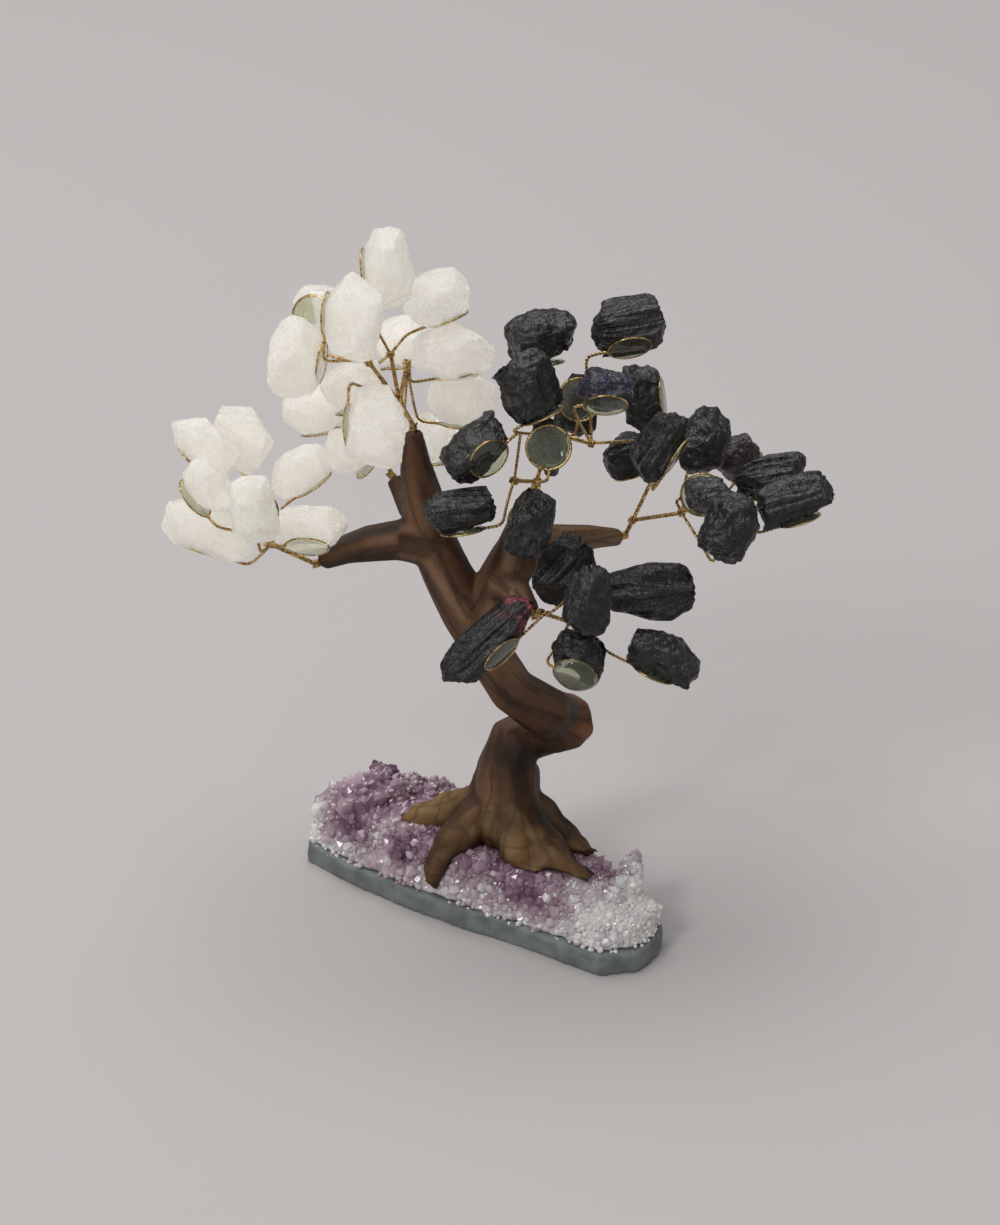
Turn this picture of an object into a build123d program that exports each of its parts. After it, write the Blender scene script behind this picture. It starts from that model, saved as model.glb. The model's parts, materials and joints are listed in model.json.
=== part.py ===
from build123d import *
import math
import os
import random
from collections import namedtuple

# Gemstone tree ornament, in millimetres. +Z is up, +X is right and +Y is away from the viewer.
# The origin is the middle of the slab's underside.
os.makedirs("parts", exist_ok=True)

# Amethyst slab
SLAB_LENGTH = 108.0
SLAB_WIDTH = 42.0
SLAB_TURN = -31.0
RIND_THICK = 6.0
CRUST_HEIGHT = 12.0
CRUST_LIP = 1.2
CRUST_DRAW_IN = 5.0
SLOPE_FROM = 20.0
SLOPE_DOWN = 12.0
POINT_ROOTED = 2.0
POINT_CLEAR = 3.2
FLANK_SHARE = 0.6
FLANK_LEAN = 58.0

# Clay trunk and the core wire inside it
FLUTES = 7
FLUTE_SHARE = 0.92
TIP_RADIUS = 2.0
CORE_RADIUS = 0.9
CORE_CLEARANCE = 0.05

# Brass wire: bundles, twisted pairs and the loops that carry the stones
STEM_RADIUS = 0.9
STEM_SET = 2.0
STEM_OUT = 2.0
STEM_CLEARANCE = 0.35
SOCKET_SPARE = 0.3
KNOT_RADIUS = 1.7
KNOT_LENGTH = 3.0
TWIG_RADIUS = 0.5
TWIG_LEAD = 2.0
STRAND = 0.6
LOOP_RADIUS = 5.2
LOOP_SIDES = 8
GLUE_PROUD = 0.56
VIEW_DOWN = 27.0

# The slab's edge as shares of its half length and half width, front edge first
SLAB_EDGE = [
    (-0.88, -0.59), (-0.52, -0.80), (-0.19, -0.88), (0.07, -0.90), (0.56, -0.91),
    (0.83, -0.96), (0.97, -0.63), (0.985, -0.15), (0.93, 0.14), (0.56, 0.46),
    (0.15, 0.80), (-0.31, 1.00), (-0.62, 1.00), (-0.93, 0.62), (-1.00, 0.05),
]

# Stations along each piece of the trunk: x, y, height above the crust and radius
TRUNK_FOOT = [(4.5, 1, -6, 12.0), (5, 2, 8, 9.6), (6, 3, 17.5, 8.2), (7.5, 5, 23.5, 7.2),
              (14, 8, 25, 7.0), (20, 8, 27.5, 6.6)]
KNOB = [(11.5, 4, 26.5, 5.8), (17.5, 6, 28, 7.7), (23, 7, 28.6, 7.0), (26.8, 7.5, 29, 3.8)]
TRUNK_TOP = [(20, 7, 29, 6.6), (15, -1, 35.5, 6.6), (6.5, -4, 43.5, 5.9), (0.5, -4, 54.5, 5.7),
             (-4.5, -3, 64.5, 6.4), (-9.5, -1, 74.5, 6.2), (-13.5, 1, 83.5, 6.0),
             (-15.5, 3, 92, 5.4), (-17, 4.5, 101, 3.7), (-17.5, 5, 109.5, TIP_RADIUS)]
RIGHT_LIMB = [(-2.5, -3, 62, 5.2), (3, -3, 70.5, 6.2), (7.5, -2, 79, 6.3), (10, 0, 87, 4.8),
              (11.5, 2, 94.5, TIP_RADIUS)]
LEFT_BRANCH = [(-12, 0, 81, 5.4), (-21, 0, 83, 5.2), (-28.5, 1, 81.5, 4.7), (-34.5, 1.5, 79.5, 3.6),
               (-40.5, 1.5, 76, TIP_RADIUS)]
RIGHT_BRANCH = [(8, -0.5, 80, 4.8), (17, 5, 80.5, 4.2), (26, 10, 79, 3.1), (33.5, 13, 77.5, TIP_RADIUS)]
FRONT_BRANCH = [(4.5, -2, 74, 4.6), (8.5, -9, 72, 3.6), (11.5, -14, 70.5, TIP_RADIUS)]
BACK_BRANCH = [(-13, 1, 82.5, 3.8), (-19, 9, 88, 3.0), (-22.5, 13, 93.5, TIP_RADIUS)]
ROOTS = [
    [(3, 2, 7, 6.2), (-6.5, -6, 2.6, 4.9), (-12, -9.5, -2.5, 3.9), (-14.6, -12, -9.5, 2.6)],
    [(2, 3, 7, 5.6), (-10, 5.2, 2, 4.4), (-18, 6.4, 0.3, 3.6), (-22.5, 6, -2.2, 2.2)],
    [(7, -3, 6, 7.0), (17, -15, 1, 5.6), (27, -20, -3.2, 3.0)],
    [(5, -3, 6, 6.5), (9.5, -14, 0.8, 5.5), (13, -19.5, -2, 3.2)],
    [(8, 3, 7, 6.5), (18, -1.5, 1, 5.0), (27, -10, -2.7, 3.0)],
    [(5, 4, 6, 5.0), (3, 11, 1.2, 3.4), (1, 15, -0.8, 2.0)],
]

# Which side of its loop a stone lies on
OVER = (0.0, 0.25, 1.0)
UP_LEFT = (-0.4, 0.2, 0.9)
UP_BEHIND = (0.0, 0.75, 0.66)
BEHIND = (0.0, 0.85, 0.5)
BEFORE = (0.0, -1.0, 0.3)
LEFT_OF = (-0.8, 0.4, 0.5)
LEFT_BEHIND = (-0.6, 0.65, 0.5)
RIGHT_OF = (0.8, 0.1, 0.5)
RIGHT_BEHIND = (0.6, 0.75, 0.2)

# A spray starts at a branch tip. Each fork has the number of the fork it grows from (None is the tip)
# and its place from the tip. Each stone has its fork, its middle from the tip, its side of the loop,
# its heading and its length, width and thickness. The heading is the angle, as the viewer sees it,
# at which its twig runs on under it; a stone's length follows its heading.
Spray = namedtuple("Spray", "name stone branch forks stones")

SPRAYS = [
    Spray("left", "quartz", LEFT_BRANCH,
          [(None, (-12, -2, 6)), (0, (-19, 0, 17))],
          [(1, (-27, 2, 31), OVER, 137, (20, 9, 8)),
           (1, (-20, 18, 26), OVER, 130, (17, 13, 11)),
           (0, (-25, -12, 26), OVER, 125, (13, 10, 9)),
           (0, (-14, -22, 24), BEFORE, 95, (14.5, 9.5, 9)),
           (0, (-28, 4, 8), OVER, 158, (22, 12, 10)),
           (0, (-5, 14, 19), OVER, 35, (15, 10, 9)),
           (0, (-2, -10, 14), UP_BEHIND, -3, (18, 10.5, 8.5))]),
    Spray("top", "quartz", TRUNK_TOP,
          [(None, (-3, -3, 9)), (0, (-10, -7, 21)), (0, (-5, -2, 21)), (0, (-1, -5, 20))],
          [(2, (-5, 0, 42), RIGHT_OF, 95, (18, 12, 10.5)),
           (1, (-13, -16, 36), RIGHT_OF, 85, (18, 12.5, 11.5)),
           (1, (-22, 12, 25), BEHIND, 105, (14, 10, 10)),
           (1, (-27, -7, 22), LEFT_OF, 260, (17.5, 12.5, 11)),
           (2, (6.5, 9.5, 31.3), OVER, 20, (16, 13.5, 10.5)),
           (3, (9.5, 6, 18.5), OVER, 10, (19, 14, 10.5)),
           (3, (12, 9, 4.3), OVER, -5, (17, 13, 11)),
           (1, (-15, 3, 11), OVER, 195, (14, 12, 11)),
           (0, (-7.5, -22, 11), RIGHT_OF, 270, (17, 12, 13)),
           (3, (5, 17, -9), OVER, 5, (16, 13, 11)),
           (2, (-3, 24, 14), OVER, 10, (15, 13, 11))]),
    Spray("back", "quartz", BACK_BRANCH,
          [(None, (-2.2, 2.4, 6))],
          [(0, (-20, 23, 9), OVER, 190, (16, 12, 11)),
           (0, (-10, -6.5, 10.8), OVER, 240, (13, 10, 9.5))]),
    Spray("middle", "tourmaline", RIGHT_LIMB,
          [(None, (1, -2, 4)), (0, (4, -2, 17)), (1, (14, -4, 15)), (0, (-4.5, -8, 7))],
          [(3, (-17.5, -20, 5), OVER, 188, (15.5, 10, 9.5)),
           (0, (-0.5, -18, 0.7), BEFORE, 255, (15.5, 11.5, 11)),
           (3, (-13.5, -12, 18), BEHIND, 222, (16.5, 11, 10.5)),
           (0, (3.5, -16, 19), BEHIND, 90, (11, 9, 8)),
           (1, (2, 15, 35), OVER, 5, (15.5, 13.5, 12)),
           (1, (-1, -13, 34), UP_LEFT, 25, (13, 11.5, 15)),
           (1, (10.5, 8, 21), BEHIND, 85, (15, 11, 10)),
           (2, (22, 6, 42), UP_BEHIND, 10, (18, 13, 12.5)),
           (2, (17, -9, 32), UP_BEHIND, 0, (12, 9.5, 9)),
           (2, (27, 15, 18), LEFT_OF, 95, (15.5, 9.5, 9))]),
    Spray("right", "tourmaline", RIGHT_BRANCH,
          [(None, (3, -1, 5)), (0, (8, -1, 17)), (0, (15, -3, 8)), (2, (25, 1, 11))],
          [(1, (2, 7, 20), OVER, 200, (11, 10.5, 10)),
           (1, (8.5, -11.5, 30.5), LEFT_OF, 55, (17, 10.5, 9.5)),
           (2, (21, 7, 23), BEFORE, 65, (16, 12.5, 11)),
           (3, (29, 18, 14), OVER, 50, (12, 10, 9)),
           (3, (37, 4, 15), OVER, 8, (18.5, 10, 9.5)),
           (3, (41.5, -12, 16), OVER, 18, (19, 12, 10)),
           (2, (20, -9, 15), BEFORE, 10, (11, 10, 8.5)),
           (2, (25.5, -21.5, 12.5), BEFORE, 70, (15, 13.5, 11))]),
    Spray("front", "tourmaline", FRONT_BRANCH,
          [(None, (2, -3, 1)), (0, (9, -2, -2))],
          [(0, (-11, -11, -2), LEFT_BEHIND, 223, (27, 10, 9.5)),
           (0, (7.2, 2.5, 10.4), LEFT_BEHIND, 45, (15.5, 13, 11.5)),
           (1, (13, -16, 11), BEFORE, 260, (14.5, 11.5, 10.5)),
           (1, (27.5, -2, 6), BEFORE, 3, (23, 15, 12)),
           (1, (11.5, -16, -4), RIGHT_BEHIND, -20, (11.5, 12.5, 11)),
           (1, (31, -13, -4.5), OVER, -25, (17.5, 11, 10.5))]),
]

# Worked out from the values above
CRUST_TOP = RIND_THICK + CRUST_HEIGHT
SLAB_PLANE = Plane.XY.rotated((0, 0, SLAB_TURN))
VIEW_TILT = math.radians(VIEW_DOWN)
INNER_RADIUS = LOOP_RADIUS - STRAND / 2
OUTER_RADIUS = LOOP_RADIUS + STRAND / 2


def station_point(station):
    """A station's middle, with its height counted from the crust's top."""
    return Vector(station[0], station[1], CRUST_TOP + station[2])


def slab_edge(inset):
    """Points of the slab's edge, drawn in by the inset."""
    half_length = SLAB_LENGTH / 2 - inset
    half_width = SLAB_WIDTH / 2 - inset
    return [(along * half_length, across * half_width) for along, across in SLAB_EDGE]


# Rind: the sawn grey-green rock skin under the crystals
with BuildPart() as rind:
    with BuildSketch(SLAB_PLANE):
        with BuildLine():
            Polyline(*slab_edge(0), close=True)
        make_face()
    extrude(amount=RIND_THICK)
rind.part.label = "rind"
export_step(rind.part, "parts/rind.step")


def crystal_point(radius, height):
    """One six-sided amethyst point, rooted below its plane."""
    shank = height * 0.45
    with BuildPart() as point:
        with BuildSketch(Plane.XY.offset(-POINT_ROOTED)):
            RegularPolygon(radius, 6)
        extrude(amount=POINT_ROOTED + shank)
        slope = math.degrees(math.atan2(radius * 0.75, height - shank))
        extrude(point.faces().sort_by(Axis.Z)[-1], amount=height - shank, taper=slope)
    return point.part


def clear_of_clay(place):
    """Whether a crystal's foot stays away from the trunk's foot and roots."""
    for root in ROOTS:
        for start, end in zip(root, root[1:]):
            for step in range(5):
                share = step / 4
                x, y, radius = (start[i] + (end[i] - start[i]) * share for i in (0, 1, 3))
                if math.hypot(place.X - x, place.Y - y) < radius + POINT_CLEAR:
                    return False
    return math.hypot(place.X - TRUNK_FOOT[0][0], place.Y - TRUNK_FOOT[0][1]) > TRUNK_FOOT[0][3] + POINT_CLEAR


def crust_top(along):
    """The crust's height at a place along the slab, where its right end slopes down."""
    return CRUST_TOP - max(0, along - SLOPE_FROM) * math.tan(math.radians(SLOPE_DOWN))


def top_places(count, seed):
    """Places on the crust's top, spread by chance, each point leaning a little outwards."""
    chance = random.Random(seed)
    places = []
    while len(places) < count:
        along = chance.uniform(-0.86, 0.90)
        across = chance.uniform(-0.68, 0.76)
        x = along * (SLAB_LENGTH / 2 - CRUST_LIP - CRUST_DRAW_IN)
        y = across * (SLAB_WIDTH / 2 - CRUST_LIP - CRUST_DRAW_IN)
        place = SLAB_PLANE.location * Location((x, y, crust_top(x)))
        tilt = -across * 24 + chance.uniform(-8, 8)
        lean = along * 24 + chance.uniform(-8, 8)
        spin = chance.uniform(0, 60)
        if clear_of_clay(place.position):
            places.append(place * Location((0, 0, 0), (tilt, lean, spin)))
    return places


def flank_places(count, seed):
    """Places round the crust's flank, spread by chance, each point leaning out over the rind."""
    chance = random.Random(seed)
    corners = slab_edge(CRUST_LIP + CRUST_DRAW_IN * FLANK_SHARE)
    places = []
    while len(places) < count:
        number = chance.randrange(len(corners))
        (x0, y0), (x1, y1) = corners[number - 1], corners[number]
        share = chance.uniform(0.1, 0.9)
        x, y = x0 + (x1 - x0) * share, y0 + (y1 - y0) * share
        height = RIND_THICK + (crust_top(x) - RIND_THICK) * FLANK_SHARE
        outwards = math.degrees(math.atan2(x0 - x1, y1 - y0))
        place = SLAB_PLANE.location * Location((x, y, height), (0, 0, outwards))
        lean = FLANK_LEAN + chance.uniform(-12, 12)
        spin = chance.uniform(0, 60)
        if clear_of_clay(place.position):
            places.append(place * Location((0, 0, 0), (0, lean, spin)))
    return places


# Crust: the amethyst grown on the rind, drawn in towards its top and sloping down to its right end,
# with its larger points
with BuildPart() as crust:
    for inset, height in [(CRUST_LIP, RIND_THICK), (CRUST_LIP + CRUST_DRAW_IN, CRUST_TOP)]:
        with BuildSketch(SLAB_PLANE.offset(height)):
            with BuildLine():
                Polyline(*slab_edge(inset), close=True)
            make_face()
    loft(ruled=True)
    slope = SLAB_PLANE.location * Location((SLOPE_FROM, 0, CRUST_TOP), (0, SLOPE_DOWN, 0))
    split(bisect_by=Plane(slope), keep=Keep.BOTTOM)
    for radius, height, count, seed in [(2.7, 5.0, 9, 3), (2.1, 4.0, 10, 8), (1.6, 3.0, 8, 13)]:
        with Locations(*top_places(count, seed)):
            add(crystal_point(radius, height))
    for radius, height, count, seed in [(2.3, 4.2, 5, 21), (1.8, 3.4, 5, 34)]:
        with Locations(*flank_places(count, seed)):
            add(crystal_point(radius, height))
crust.part.label = "crust"
export_step(crust.part, "parts/crust.step")


def limb_planes(stations):
    """A plane across the limb at each of its stations."""
    points = [station_point(station) for station in stations]
    chord = points[-1] - points[0]
    sideways = Vector(0, 1, 0) if abs(chord.X) > abs(chord.Y) else Vector(1, 0, 0)
    planes = []
    for number, point in enumerate(points):
        ahead = points[min(number + 1, len(points) - 1)]
        behind = points[max(number - 1, 0)]
        planes.append(Plane(origin=point, x_dir=sideways, z_dir=ahead - behind))
    return planes


def tip_plane(branch):
    """The plane across a branch at its tip, facing out along the branch."""
    return limb_planes(branch)[-1]


def wire_run(points, radius):
    """A six-sided wire through points, mitred at its bends."""
    with BuildPart() as run:
        with BuildLine() as path:
            Polyline(*points)
        with BuildSketch(Plane(origin=points[0], z_dir=points[1] - points[0])):
            RegularPolygon(radius, 6)
        sweep(path=path.line, transition=Transition.RIGHT)
    return run.part


BRANCHES = [RIGHT_LIMB, LEFT_BRANCH, RIGHT_BRANCH, FRONT_BRANCH, BACK_BRANCH]


def core_wires(grow):
    """The core wire's runs: up the trunk, and out along every branch to its socket."""
    socket = STEM_SET + SOCKET_SPARE
    trunk_line = [station_point(station) for station in TRUNK_FOOT[1:-1] + [TRUNK_TOP[1]] + TRUNK_TOP[2:]]
    lines = [trunk_line] + [[station_point(station) for station in branch] for branch in BRANCHES]
    tips = [tip_plane(TRUNK_TOP)] + [tip_plane(branch) for branch in BRANCHES]
    runs = []
    for line, tip in zip(lines, tips):
        line[-1] = tip.origin - tip.z_dir * (socket - grow)
        runs.append(wire_run(line, CORE_RADIUS + grow))
    return runs


# Core: the wire armature inside the clay, one solid, which every spray is wound on to
with BuildPart() as core:
    add(core_wires(0))
core.part.label = "core"
export_step(core.part, "parts/core.step")


def fluted_outline(radius):
    """A limb's outline, with the ridges and grooves that the modelling tool left along it."""
    points = []
    for step in range(2 * FLUTES):
        angle = math.pi * step / FLUTES
        reach = radius if step % 2 else radius * FLUTE_SHARE
        points.append((reach * math.cos(angle), reach * math.sin(angle)))
    return points


# Trunk: painted clay modelled over the core, with roots spread on the crust and six branch tips
with BuildPart() as trunk:
    for limb in [TRUNK_FOOT, KNOB, TRUNK_TOP] + BRANCHES + ROOTS:
        for station, plane in zip(limb, limb_planes(limb)):
            with BuildSketch(plane):
                with BuildLine():
                    Polyline(*fluted_outline(station[3]), close=True)
                make_face()
        loft(ruled=True)
    add(crust.part, mode=Mode.SUBTRACT)
    add(core_wires(CORE_CLEARANCE), mode=Mode.SUBTRACT)
    for branch in [TRUNK_TOP] + BRANCHES:
        with BuildSketch(tip_plane(branch)):
            RegularPolygon(STEM_RADIUS + STEM_CLEARANCE, 6)
        extrude(amount=-STEM_SET - SOCKET_SPARE, mode=Mode.SUBTRACT)
trunk.part.label = "trunk"
export_step(trunk.part, "parts/trunk.step")


def fork_point(spray, fork):
    """A fork's place: the branch tip, or that many millimetres from it."""
    tip = tip_plane(spray.branch).origin
    return tip if fork is None else tip + Vector(*spray.forks[fork][1])


def loop_plane(spray, stone):
    """The plane of a stone's loop: X runs on along its twig and the stone, Z points to the stone."""
    fork, place, side, heading, size = stone
    heading = math.radians(heading)
    upward = Vector(0, math.sin(VIEW_TILT), math.cos(VIEW_TILT))
    along = Vector(math.cos(heading), 0, 0) + upward * math.sin(heading)
    side = Vector(*side)
    facing = (side - along * side.dot(along)).normalized()
    centre = tip_plane(spray.branch).origin + Vector(*place) - facing * (size[2] / 2 + GLUE_PROUD)
    return Plane(origin=centre, x_dir=along, z_dir=facing)


def stem(spray, number):
    """A bundle of twisted pairs from one fork to the next, with the knot where it parts."""
    parent, place = spray.forks[number]
    start = fork_point(spray, parent)
    end = fork_point(spray, number)
    ahead = (end - start).normalized()
    with BuildPart() as bundle:
        if parent is None:
            with BuildSketch(tip_plane(spray.branch).offset(-STEM_SET)):
                RegularPolygon(STEM_RADIUS, 6)
            extrude(amount=STEM_SET + STEM_OUT)
            start = start + tip_plane(spray.branch).z_dir * (STEM_OUT - STEM_RADIUS / 2)
        with BuildSketch(Plane(origin=start, z_dir=end - start)):
            RegularPolygon(STEM_RADIUS, 6)
        extrude(amount=(end - start).length)
        with BuildSketch(Plane(origin=end - ahead * KNOT_LENGTH / 2, z_dir=ahead)):
            RegularPolygon(KNOT_RADIUS, 6)
        extrude(amount=KNOT_LENGTH)
    return bundle.part


def twig(spray, stone):
    """A twisted pair from its fork, bent at the stone's end to run straight into its loop, and the loop."""
    plane = loop_plane(spray, stone)
    bend = plane.origin - plane.x_dir * (max(LOOP_RADIUS, stone[4][0] / 2) + TWIG_LEAD)
    end = plane.origin - plane.x_dir * LOOP_RADIUS
    with BuildPart() as pair:
        add(wire_run([fork_point(spray, stone[0]), bend, end], TWIG_RADIUS))
        with BuildSketch(plane.offset(-STRAND / 2)):
            RegularPolygon(OUTER_RADIUS, LOOP_SIDES)
            RegularPolygon(INNER_RADIUS, LOOP_SIDES, mode=Mode.SUBTRACT)
        extrude(amount=STRAND)
    return pair.part


def glue_film(spray, stone):
    """The clear glue that fills a loop and stands a little proud of it under the stone."""
    with BuildPart() as film:
        with BuildSketch(loop_plane(spray, stone).offset(-STRAND / 2)):
            RegularPolygon(INNER_RADIUS, LOOP_SIDES)
        extrude(amount=STRAND / 2 + GLUE_PROUD)
    return film.part


def chip(middle, plane, direction, reach):
    """Breaks a stone off beyond a reach from its middle, in a direction of its own plane."""
    facing = plane.x_dir * direction[0] + plane.y_dir * direction[1] + plane.z_dir * direction[2]
    facing = facing.normalized()
    split(bisect_by=Plane(origin=middle + facing * reach, z_dir=facing), keep=Keep.BOTTOM)


def box_reach(size, direction):
    """How far a block of this size reaches in a direction."""
    length = Vector(*direction).length
    return sum(abs(part) * side / 2 for part, side in zip(direction, size)) / length


def quartz(plane, size, seed):
    """A rough lump of milky quartz: a block with its corners broken off, flat where it is glued."""
    chance = random.Random(seed)
    middle = plane.origin + plane.z_dir * size[2] / 2
    with BuildPart() as lump:
        with BuildSketch(plane):
            Rectangle(size[0], size[1])
        extrude(amount=size[2])
        for end in (-1, 1):
            for side in (-1, 1):
                for upper, least, most in [(1, 0.62, 0.76), (-1, 0.80, 0.88)]:
                    direction = (end * chance.uniform(0.5, 1.3) / size[0],
                                 side * chance.uniform(0.5, 1.3) / size[1],
                                 upper * chance.uniform(0.5, 1.3) / size[2])
                    chip(middle, plane, direction, box_reach(size, direction) * chance.uniform(least, most))
        for lengthways, across in [(1, -0.5), (1, 0.5), (-1, -0.5), (-1, 0.5)]:
            direction = (lengthways, across + chance.uniform(-0.3, 0.3), chance.uniform(-0.2, 0.5))
            chip(middle, plane, direction, box_reach(size, direction) * chance.uniform(0.78, 0.90))
        for upright in range(2):
            direction = (chance.uniform(-0.5, 0.5), chance.uniform(-0.5, 0.5), 1)
            chip(middle, plane, direction, box_reach(size, direction) * chance.uniform(0.80, 0.90))
    return lump.part


def tourmaline(plane, size, seed):
    """A broken prism of black tourmaline: a rounded triangle with ridges along it and rough ends."""
    chance = random.Random(seed)
    middle = plane.origin + plane.z_dir * size[2] / 2
    section = [(-0.34, 0), (0.34, 0)]
    for ridge in range(11):
        angle = math.radians(-32 + ridge * 244 / 10)
        swell = (1.0 if ridge % 2 else 0.93) + 0.05 * math.cos(3 * angle + 1.5) + chance.uniform(-0.02, 0.02)
        section.append((0.46 * math.cos(angle) * swell, 0.52 + 0.46 * math.sin(angle) * swell))
    with BuildPart() as prism:
        with BuildSketch(Plane(origin=plane.origin - plane.x_dir * size[0] / 2,
                               x_dir=plane.y_dir, z_dir=plane.x_dir)):
            with BuildLine():
                Polyline(*[(across * size[1], up * size[2]) for across, up in section], close=True)
            make_face()
        extrude(amount=size[0])
        for end in (-1, 1):
            for break_number in range(2):
                direction = (end, chance.uniform(-0.6, 0.6), chance.uniform(-0.25, 0.7))
                chip(middle, plane, direction, box_reach(size, direction) * chance.uniform(0.74, 0.86))
    return prism.part


STONE_FORMS = {"quartz": quartz, "tourmaline": tourmaline}

# Sprays: for each branch tip its wires, its glue films and its stones
for spray_number, spray in enumerate(SPRAYS):
    wires = []
    for fork_number in range(len(spray.forks)):
        wires.append(stem(spray, fork_number))
    for stone in spray.stones:
        wires.append(twig(spray, stone))
    apart = []
    for wire in wires:
        with BuildPart() as trimmed:
            add(wire)
            if apart:
                add(apart, mode=Mode.SUBTRACT)
        apart.append(trimmed.part)
    wiring = Compound(children=apart, label=spray.name + "_wires")
    export_step(wiring, "parts/" + spray.name + "_wires.step")

    films = Compound(children=[glue_film(spray, stone) for stone in spray.stones])
    films.label = spray.name + "_glue"
    export_step(films, "parts/" + spray.name + "_glue.step")

    for stone_number, stone in enumerate(spray.stones, 1):
        seat = loop_plane(spray, stone).offset(GLUE_PROUD)
        piece = STONE_FORMS[spray.stone](seat, stone[4], 100 * spray_number + stone_number)
        piece.label = f"{spray.name}_{spray.stone}_{stone_number}"
        export_step(piece, "parts/" + piece.label + ".step")
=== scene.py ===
import json
import math
import random

import bmesh
import bpy
import numpy as np
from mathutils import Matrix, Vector, noise
from mathutils.bvhtree import BVHTree
from mathutils.kdtree import KDTree


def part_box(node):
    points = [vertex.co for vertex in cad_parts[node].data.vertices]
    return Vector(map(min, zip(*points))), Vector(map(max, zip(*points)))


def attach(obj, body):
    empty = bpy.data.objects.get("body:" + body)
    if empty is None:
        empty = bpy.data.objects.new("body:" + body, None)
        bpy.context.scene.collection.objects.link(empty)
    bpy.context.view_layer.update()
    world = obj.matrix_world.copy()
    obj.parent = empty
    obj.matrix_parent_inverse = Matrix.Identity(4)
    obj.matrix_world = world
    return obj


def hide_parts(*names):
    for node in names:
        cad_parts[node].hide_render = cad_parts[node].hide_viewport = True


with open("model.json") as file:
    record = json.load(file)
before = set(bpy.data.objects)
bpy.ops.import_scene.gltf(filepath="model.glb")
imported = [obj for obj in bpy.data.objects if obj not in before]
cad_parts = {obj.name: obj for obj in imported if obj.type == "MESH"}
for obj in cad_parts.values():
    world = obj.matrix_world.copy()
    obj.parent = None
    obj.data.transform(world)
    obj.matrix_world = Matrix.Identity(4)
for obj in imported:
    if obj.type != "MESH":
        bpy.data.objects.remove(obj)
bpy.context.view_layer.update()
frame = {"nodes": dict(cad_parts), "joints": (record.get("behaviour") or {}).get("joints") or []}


# Rind
# The skin of grey-green rock that the amethyst grew on. It was sawn from a geode, so it is flat
# underneath, and its edge is a dull, smooth and slightly wavy cut with a few darker grains in it.
MM = 0.001


class Shade:
    """One socket of a material, which takes part in sums as a number does."""

    def __init__(self, tree, socket=None):
        self.tree = tree
        self.socket = socket

    def node(self, kind, settings, inputs, output=0):
        """A new node: its settings first, then the values or links of its sockets. Gives one output."""
        made = self.tree.nodes.new("ShaderNode" + kind)
        for name, value in settings.items():
            if name == "stops":
                for place, colour in value[1:-1]:
                    made.color_ramp.elements.new(place)
                for element, (place, colour) in zip(made.color_ramp.elements, value):
                    element.position = place
                    element.color = (*colour, 1)
            else:
                setattr(made, name, value)
        for name, value in inputs.items():
            self.feed(made.inputs[name], value)
        return Shade(self.tree, made.outputs[output])

    def feed(self, socket, value):
        """Links a shade to a socket, or sets the socket to a plain value."""
        if isinstance(value, Shade):
            self.tree.links.new(value.socket, socket)
        elif socket.type == "RGBA":
            socket.default_value = (*value, 1)
        else:
            socket.default_value = value

    def sum(self, operation, first, second):
        return self.node("Math", {"operation": operation}, {0: first, 1: second})

    def __add__(self, other):
        return self.sum("ADD", self, other)

    def __radd__(self, other):
        return self.sum("ADD", other, self)

    def __sub__(self, other):
        return self.sum("SUBTRACT", self, other)

    def __rsub__(self, other):
        return self.sum("SUBTRACT", other, self)

    def __mul__(self, other):
        return self.sum("MULTIPLY", self, other)

    def __rmul__(self, other):
        return self.sum("MULTIPLY", other, self)

    def spread(self, low, high):
        """0 where this value is at or below low, 1 at or above high, and smooth between."""
        return self.node("MapRange", {"interpolation_type": "SMOOTHSTEP"},
                         {"Value": self, "From Min": low, "From Max": high})

    def between(self, first, second):
        """The first colour where this value is 0, the second where it is 1."""
        return self.node("Mix", {"data_type": "RGBA"}, {0: self, 6: first, 7: second}, 2)

    def ramp(self, *stops):
        """A colour for this value, through stops of a value and a colour each."""
        return self.node("ValToRGB", {"stops": stops}, {"Fac": self})

    def kept(self, name):
        """A number that the mesh keeps at each of its points."""
        return self.node("Attribute", {"attribute_name": name}, {}, "Fac")

    def grains(self, size, detail=4.0, rough=0.55):
        """Cloudy noise from 0 to 1, with clouds of about this size."""
        place = self.node("TexCoord", {}, {}, "Object")
        return self.node("TexNoise", {}, {"Vector": place, "Scale": 1 / size, "Detail": detail,
                                          "Roughness": rough}, "Fac")

    def relief(self, height, depth):
        """A surface direction for small relief of this depth."""
        return self.node("Bump", {}, {"Strength": 1.0, "Distance": depth, "Height": height})


def new_finish(name):
    """A material, its main shader, and a shade to start its sums from."""
    material = bpy.data.materials.new(name)
    material.use_nodes = True
    return material, material.node_tree.nodes["Principled BSDF"], Shade(material.node_tree)


def new_piece(name, mesh, body, slot, *nodes):
    """A piece of the object that rides on a body and stands for some of its solids."""
    piece = bpy.data.objects.new(name, mesh)
    bpy.context.scene.collection.objects.link(piece)
    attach(piece, body)
    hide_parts(*nodes)
    return piece


def worked_copy(node, name, body, slot, voxel, softening):
    """A solid's mesh rebuilt in small even faces, so that it can be shaped further."""
    piece = new_piece(name, frame["nodes"][node].data.copy(), body, slot, node)
    piece.data.materials.clear()
    even = piece.modifiers.new("even", "REMESH")
    even.mode = "VOXEL"
    even.voxel_size = voxel
    soft = piece.modifiers.new("soft", "SMOOTH")
    soft.iterations = softening
    seen = piece.evaluated_get(bpy.context.evaluated_depsgraph_get())
    mesh = bpy.data.meshes.new_from_object(seen)
    piece.modifiers.clear()
    piece.data = mesh
    return piece


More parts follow.
